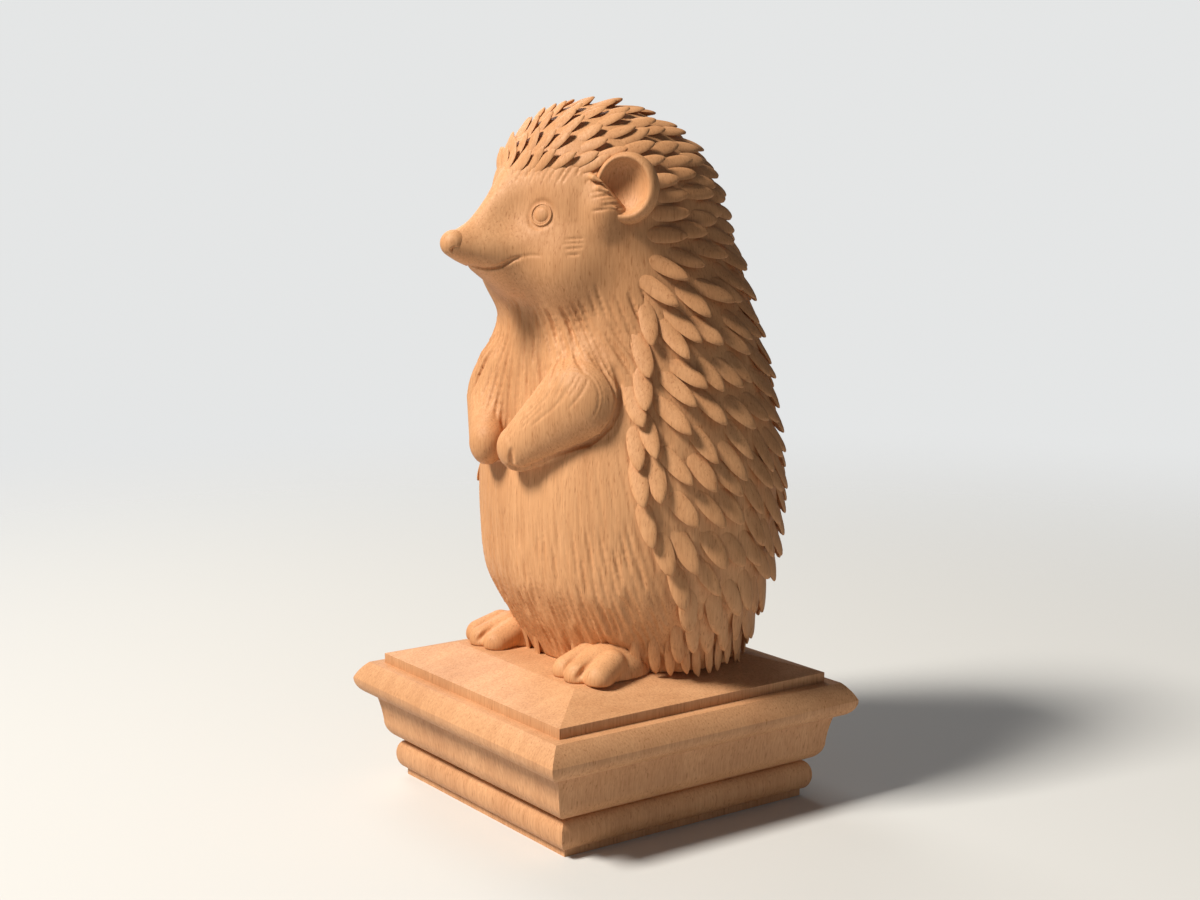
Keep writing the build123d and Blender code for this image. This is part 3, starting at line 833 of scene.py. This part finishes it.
for side in sides:
    seat_point = onto_form(mirrored(eye_place, side)[None])
    eye_seats[side] = seat_point[0]
    eye_normals[side] = form_slopes(seat_point, eye_slope_step)[0]
    place, grid = head.around(seat_point, moat_room)
    spread, out = eye_frame(*grid, side)
    moat = np.sqrt((spread - moat_radius) ** 2 + (out + moat_sink) ** 2) - moat_half
    head.values[place] = soft_cut(head.values[place], moat, moat_blend)

# Meshes of the carved pieces
skin_pieces = (
    ("carved_torso", torso, "torso_block"),
    ("carved_head", head, "head_block"),
    ("back_skin", back, "back_block"),
    ("carved_left_arm", arms[1], "left_arm"),
    ("carved_right_arm", arms[-1], "right_arm"),
)
skins = []
for name, field, replaced in skin_pieces:
    points, quads = field.mesh()
    skins.append((points, field.step))
    new_piece(name, points, quads, (replaced,), carved_wood)


# Quill coat: its edge in the side view, from the hem to the hairline, as height and place
coat_edge = (
    (45.0, -24.0),
    (50.0, -16.0),
    (56.0, -6.0),
    (61.3, -1.1),
    (72.5, -8.3),
    (82.6, -13.1),
    (92.3, -16.2),
    (101.9, -17.0),
    (120.7, -17.3),
    (132.4, -15.5),
    (151.1, -11.4),
    (169.9, -9.6),
    (178.1, -10.4),
    (188.0, -14.0),
    (194.5, -20.3),
    (195.4, -40.0),
)
# How far the quills lie back rather than down, by height and by distance from the edge
lie_heights = (45.0, 58.0, 75.0, 100.0, 130.0, 158.0, 166.0, 172.0, 178.0, 195.0)
lie_backs = (0.10, 0.16, 0.36, 0.40, 0.42, 0.45, 0.57, 0.73, 0.86, 1.00)
edge_shares = ((2.0, 10.0), (0.45, 1.0))
edge_top = 155.0

# Size of a full quill, and how it shrinks over the head, towards the hairline and at the hem
quill_length = 15.6
quill_width = 5.4
head_start, head_span, head_shrink = 165.0, 30.0, 0.15
front_start, front_span, front_shrink = 10.0, 45.0, 0.30
hem_start, hem_span = 64.0, 14.0
hem_length_shrink, hem_width_shrink = 0.30, 0.45

# Spacing as shares of length and width, rounds of evening out, groups to work in, and how single
# quills vary: length, width, turn in radians, lift
along_clear, across_clear = 0.58, 0.98
even_rounds = 5
even_groups = 12
quill_lengths = (0.94, 1.10)
quill_widths = (0.92, 1.10)
quill_swing = 0.10
quill_lifts = (1.0, 1.3)

# Limits of the coat's points: off the carved form, over the seat, off an ear's middle, their count,
# and how far the quills stay inside the CAD box
form_gap = 0.9
hem_gap = 2.5
ear_gap = 9.5
coat_count = 9000
box_gap = 0.3


def behind_edge(points):
    """How far points lie behind the coat's edge."""
    return points[:, 1] - np.interp(points[:, 2], *zip(*coat_edge))


def quill_course(points, normals, turn):
    """Direction of each quill along the skin."""
    lie = np.interp(points[:, 2], lie_heights, lie_backs)
    beside = np.interp(behind_edge(points), *edge_shares)
    lie = lie * np.where(points[:, 2] < edge_top, beside, 1)
    course = along_form(np.stack((np.zeros(len(points)), lie, lie - 1), axis=-1), normals)
    return course * np.cos(turn)[:, None] + np.cross(normals, course) * np.sin(turn)[:, None]


# One leaf-shaped quill, along its length from root to tip: half width as a share of its half
# width, height of the ridge, of the edge and of the underside as shares of its length
leaf_places = (0.00, 0.14, 0.28, 0.42, 0.56, 0.69, 0.81, 0.91, 0.97, 1.00)
leaf_widths = (0.62, 0.80, 0.92, 0.99, 1.00, 0.94, 0.80, 0.58, 0.34, 0.12)
leaf_ridges = (-0.050, -0.010, 0.018, 0.046, 0.078, 0.112, 0.142, 0.162, 0.167, 0.162)
leaf_edges = (-0.090, -0.048, -0.016, 0.014, 0.046, 0.080, 0.110, 0.132, 0.143, 0.146)
leaf_unders = (-0.150, -0.140, -0.130, -0.115, -0.095, -0.060, -0.005, 0.055, 0.095, 0.118)
leaf_across = (-1.0, -0.90, -0.62, -0.28, 0.0, 0.28, 0.62, 0.90, 1.0)
leaf_round = 3.2
leaf_crease = math.radians(55)


def leaf_faces():
    """Faces of one quill, closed along its underside and at both ends."""
    rows, columns = len(leaf_places), len(leaf_across)
    top = np.arange(rows * columns).reshape(rows, columns)
    under = rows * columns + np.arange(rows)
    faces = []
    for r in range(rows - 1):
        for c in range(columns - 1):
            faces.append((top[r, c], top[r + 1, c], top[r + 1, c + 1], top[r, c + 1]))
        faces.append((under[r], under[r + 1], top[r + 1, 0], top[r, 0]))
        faces.append((top[r, -1], top[r + 1, -1], under[r + 1], under[r]))
    faces.append((*top[0], under[0]))
    faces.append((*top[-1][::-1], under[-1]))
    return faces


def quill_sizes(points):
    """Length and width of the quills: smaller towards the hairline, a narrow fringe at the hem."""
    head_share = np.clip((points[:, 2] - head_start) / head_span, 0, 1)
    front_share = np.clip((front_start - points[:, 1]) / front_span, 0, 1)
    scale = 1 - head_share * (head_shrink + front_shrink * front_share)
    hem_share = np.clip((hem_start - points[:, 2]) / hem_span, 0, 1)
    lengths = quill_length * scale * (1 - hem_length_shrink * hem_share)
    return lengths, quill_width * scale * (1 - hem_width_shrink * hem_share)


def quill_frames(points):
    """Course of each quill without its own turn, and the direction out of the form."""
    normals = form_slopes(points)
    return quill_course(points, normals, np.zeros(len(points))), normals


def quill_places(coat):
    """Evenly staggered places for the quills, from points all over the coat."""
    lengths, widths = quill_sizes(coat)
    courses, normals = quill_frames(coat)
    along, across = along_clear * lengths, across_clear * widths
    centres = coat[scatter(coat, courses, normals, along, across)]
    for _ in range(even_rounds):
        lengths, widths = quill_sizes(centres)
        courses, normals = quill_frames(centres)
        aside = np.cross(normals, courses)
        owners = []
        for group in np.array_split(coat, even_groups):
            away = group[:, None] - centres
            gaps = (np.sum(away * courses, axis=-1) / lengths) ** 2
            gaps = gaps + (np.sum(away * aside, axis=-1) / widths) ** 2
            gaps = gaps + (np.sum(away * normals, axis=-1) / widths) ** 2
            owners.append(np.argmin(gaps, axis=1))
        owners = np.concatenate(owners)
        counts = np.bincount(owners, minlength=len(centres))
        sums = [np.bincount(owners, values, len(centres)) for values in coat.T]
        sums = np.stack(sums, axis=-1)
        centres = onto_form(sums[counts > 0] / counts[counts > 0, None])
    return centres


def grow_quills(coat):
    """Points and faces of all quills."""
    centres = quill_places(coat)
    count = len(centres)
    lengths, widths = quill_sizes(centres)
    lengths = lengths * random.uniform(*quill_lengths, count)
    widths = widths * random.uniform(*quill_widths, count)
    normals = form_slopes(centres)
    courses = quill_course(centres, normals, random.normal(0.0, quill_swing, count))
    lifts = random.uniform(*quill_lifts, count)
    points, under = [], []
    for k, place in enumerate(leaf_places):
        spine = onto_form(centres + courses * ((place - 0.5) * lengths)[:, None])
        up = form_slopes(spine)
        across = np.cross(courses, up)
        across /= np.linalg.norm(across, axis=-1, keepdims=True)
        ridge = leaf_ridges[k] * lengths * lifts
        edge = leaf_edges[k] * lengths * lifts
        for share in leaf_across:
            height = edge + (ridge - edge) * (1 - abs(share) ** leaf_round)
            offset = share * leaf_widths[k] * widths / 2
            points.append(spine + up * height[:, None] + across * offset[:, None])
        under.append(spine + up * (leaf_unders[k] * lengths * lifts)[:, None])
    leaves = np.stack(points + under, axis=1)
    low, high = (np.array(corner) / mm for corner in cad_box)
    leaves = np.clip(leaves, low + box_gap, high - box_gap)
    base = leaf_faces()
    size = leaves.shape[1]
    faces = [tuple(int(v) + n * size for v in face) for n in range(count) for face in base]
    return leaves.reshape(-1, 3), faces


def thinned(points, step):
    """Share of a fine mesh's points, as close as the back's own are."""
    return points[random.random(len(points)) < (step / back.step) ** 2]


coat = np.concatenate([thinned(*skin) for skin in skins[:3]])
ear_away = [np.linalg.norm(coat - mirrored(ear_place, side), axis=1) for side in sides]
on_form = np.abs(carved_form(*coat.T)) < form_gap
over_hem = coat[:, 2] > seat + hem_gap
clear_of_ears = np.min(ear_away, axis=0) > ear_gap
coat = coat[on_form & (behind_edge(coat) > 0) & over_hem & clear_of_ears]
coat = random.permutation(coat)[:coat_count]
points, faces = grow_quills(coat)
quills = new_piece("quill_coat", points, faces, ("back_block",), carved_wood)
quills.data.set_sharp_from_angle(angle=leaf_crease)

# Feet, along from the tip, across and up from the seat: a half-round instep, three toes, each from
# its tip to its root, and clefts between them
foot_place = (27.1, -31.5)
foot_turn = math.radians(8.0)
foot_length = 32.0
foot_setback = 2.0
foot_instep = 9.6
foot_half_width = 10.4
foot_low, foot_high, foot_step = (-18.0, -4.0, -2.0), (18.0, 36.0, 14.0), 0.4
toe_radius = 4.4
toe_pitch = 6.9
toe_tip, toe_tip_rise = 4.4, 1.6
toe_stagger = 1.8
toe_root, toe_root_rise, toe_root_pitch = 13.0, 4.4, 5.4
toe_blend = 0.9
cleft_line = ((1.0, 2.0), (8.0, 7.6), (14.0, 9.6))
cleft_radii = (0.9, 0.8, 0.3)
cleft_bend, cleft_blend = 0.5, 0.8


def carve(name, low, high, step, field):
    """Small piece shown in place of the CAD node that it is named after."""
    points, quads = Field(low, high, step, field).mesh()
    new_piece("carved_" + name, points, quads, (name,), carved_wood)


def carve_foot(side, name):
    def field(x, y, z):
        dx, dy = x - side * foot_place[0], y - foot_place[1]
        along = -side * math.sin(foot_turn) * dx + math.cos(foot_turn) * dy
        across = math.cos(foot_turn) * dx + side * math.sin(foot_turn) * dy
        up = z - seat
        half = foot_length / 2
        halves = (half - foot_setback, foot_half_width, foot_instep)
        form = ball_field(along, across, up, (half + foot_setback, 0, 0), halves)
        for step in (-1, 0, 1):
            tip = (toe_tip + toe_stagger * abs(step), step * toe_pitch, toe_tip_rise)
            root = (toe_root, step * toe_root_pitch, toe_root_rise)
            toe = limb_field(along, across, up, (tip, root), (toe_radius, toe_radius))
            form = soft_union(form, toe, toe_blend)
        for step in (-0.5, 0.5):
            chain = [(reach, step * toe_pitch, rise) for reach, rise in cleft_line]
            cleft = limb_field(along, across, up, chain, cleft_radii, cleft_bend)
            form = soft_cut(form, cleft, cleft_blend)
        return np.maximum(form, -up)

    corner = np.array((side * foot_place[0], foot_place[1], seat))
    carve(name, corner + foot_low, corner + foot_high, foot_step, field)


def carve_ear(side, name):
    def field(x, y, z):
        across, up, out = ear_frame(x, y, z, side)
        halves = (ear_half_width, ear_half_height, ear_half_depth)
        shell = ball_field(across, up, out, (0, 0, ear_sink), halves)
        shell = soft_cut(shell, ear_face - out, ear_face_blend)
        return soft_cut(shell, ear_bowl(across, up, out), bowl_blend)

    centre = mirrored(ear_place, side)
    carve(name, centre - ear_room, centre + ear_room, ear_step, field)


def carve_eye(side, name):
    """Button with a rounded face and a thin raised ring round it."""
    def field(x, y, z):
        spread, out = eye_frame(x, y, z, side)
        bead = ball_field(spread, out, 0.0, (0, -eye_sink, 0), (eye_radius, eye_half_depth, 1.0))
        ring = np.sqrt((spread - ring_radius) ** 2 + (out + ring_sink) ** 2) - ring_half
        button = np.maximum(spread - button_radius, np.abs(out + button_sink) - button_half)
        return np.minimum(np.minimum(bead, ring), button)

    centre = eye_seats[side]
    carve(name, centre - eye_room, centre + eye_room, eye_step, field)


for side, name in zip(sides, ("left", "right")):
    carve_foot(side, name + "_foot")
    carve_ear(side, name + "_ear")
    carve_eye(side, name + "_eye")

# Nose knob with two nostrils
nose_place = np.array((0.0, -52.2, 173.75))
nose_halves = (4.2, 4.1, 4.0)
nostril_place = (3.2, -1.6, -1.9)
nostril_halves = (1.2, 1.4, 1.0)
nostril_blend = 0.6
nose_room, nose_step = 6.0, 0.25


def nose_field(x, y, z):
    form = ball_field(x, y, z, nose_place, nose_halves)
    for side in sides:
        centre = nose_place + mirrored(nostril_place, side)
        form = soft_cut(form, ball_field(x, y, z, centre, nostril_halves), nostril_blend)
    return form


nose_box = (nose_place - nose_room, nose_place + nose_room)
points, quads = Field(*nose_box, nose_step, nose_field).mesh()
new_piece("nose_knob", points, quads, ("nose",), carved_wood)

# Floor that fades into the pale background, light and camera
backdrop = (0.78, 0.79, 0.79, 1.0)
floor_half = 3.0
corner_signs = ((-1, -1), (1, -1), (1, 1), (-1, 1))
floor_corners = [(x * floor_half, y * floor_half, 0) for x, y in corner_signs]
floor_data = bpy.data.meshes.new("floor")
floor_data.from_pydata(floor_corners, [], [(0, 1, 2, 3)])
floor = bpy.data.objects.new("floor", floor_data)
bpy.context.scene.collection.objects.link(floor)
floor_material = bpy.data.materials.new("floor")
floor_material.use_nodes = True
nodes = floor_material.node_tree.nodes
links = floor_material.node_tree.links
nodes["Principled BSDF"].inputs["Base Color"].default_value = (0.62, 0.62, 0.61, 1)
nodes["Principled BSDF"].inputs["Roughness"].default_value = 0.9
floor_place = nodes.new("ShaderNodeTexCoord")
floor_length = nodes.new("ShaderNodeVectorMath")
floor_length.operation = "LENGTH"
links.new(floor_place.outputs["Object"], floor_length.inputs[0])
floor_fade = nodes.new("ShaderNodeMapRange")
floor_fade.interpolation_type = "SMOOTHSTEP"
floor_fade.inputs["From Min"].default_value = 0.15
floor_fade.inputs["From Max"].default_value = 0.85
links.new(floor_length.outputs["Value"], floor_fade.inputs["Value"])
clear = nodes.new("ShaderNodeBsdfTransparent")
floor_mix = nodes.new("ShaderNodeMixShader")
links.new(floor_fade.outputs["Result"], floor_mix.inputs["Fac"])
links.new(nodes["Principled BSDF"].outputs["BSDF"], floor_mix.inputs[1])
links.new(clear.outputs["BSDF"], floor_mix.inputs[2])
links.new(floor_mix.outputs["Shader"], nodes["Material Output"].inputs["Surface"])
floor_data.materials.append(floor_material)

world = bpy.data.worlds.new("studio")
bpy.context.scene.world = world
world.use_nodes = True
nodes = world.node_tree.nodes
links = world.node_tree.links
nodes["Background"].inputs["Color"].default_value = (0.95, 0.97, 1.0, 1)
nodes["Background"].inputs["Strength"].default_value = 0.075
shown = nodes.new("ShaderNodeBackground")
shown.inputs["Color"].default_value = backdrop
shown.inputs["Strength"].default_value = 1.0
light_path = nodes.new("ShaderNodeLightPath")
world_mix = nodes.new("ShaderNodeMixShader")
links.new(light_path.outputs["Is Camera Ray"], world_mix.inputs["Fac"])
links.new(nodes["Background"].outputs["Background"], world_mix.inputs[1])
links.new(shown.outputs["Background"], world_mix.inputs[2])
links.new(world_mix.outputs["Shader"], nodes["World Output"].inputs["Surface"])

# Lamps and camera, in metres, aimed at one point and placed by the photo's view
target = Vector((-0.0084, 0.0059, 0.1069))
view_right = Vector((0.5835, 0.8121, 0.0))
view_back = Vector((0.8027, -0.5767, 0.1518))
view_up = Vector((-0.1233, 0.0886, 0.9884))


def area_light(name, right, back, up, size, watts, colour):
    lamp = bpy.data.lights.new(name, "AREA")
    lamp.energy = watts
    lamp.size = size
    lamp.color = colour
    light = bpy.data.objects.new(name, lamp)
    light.location = target + view_right * right + view_back * back + view_up * up
    light.rotation_euler = (target - light.location).to_track_quat("-Z", "Y").to_euler()
    bpy.context.scene.collection.objects.link(light)


# Each lamp's place to the right, towards the camera and up, its size, power and colour
lamps = {
    "key": (-1.29, 0.93, 1.56, 0.53, 79.0, (1.0, 0.95, 0.87)),
    "fill": (1.33, 1.71, 0.67, 1.5, 2.2, (0.98, 0.98, 1.0)),
    "back": (-0.76, -1.62, 1.43, 1.1, 17.0, (1.0, 0.98, 0.95)),
}
for name, values in lamps.items():
    area_light(name, *values)

camera_data = bpy.data.cameras.new("camera")
camera_data.sensor_width = 36.0
camera_data.lens = 54.5135
camera = bpy.data.objects.new("camera", camera_data)
camera.location = (0.454827, -0.326977, 0.194475)
camera.rotation_euler = (target - camera.location).to_track_quat("-Z", "Y").to_euler()
bpy.context.scene.collection.objects.link(camera)
bpy.context.scene.camera = camera
bpy.context.scene.view_settings.view_transform = "Standard"
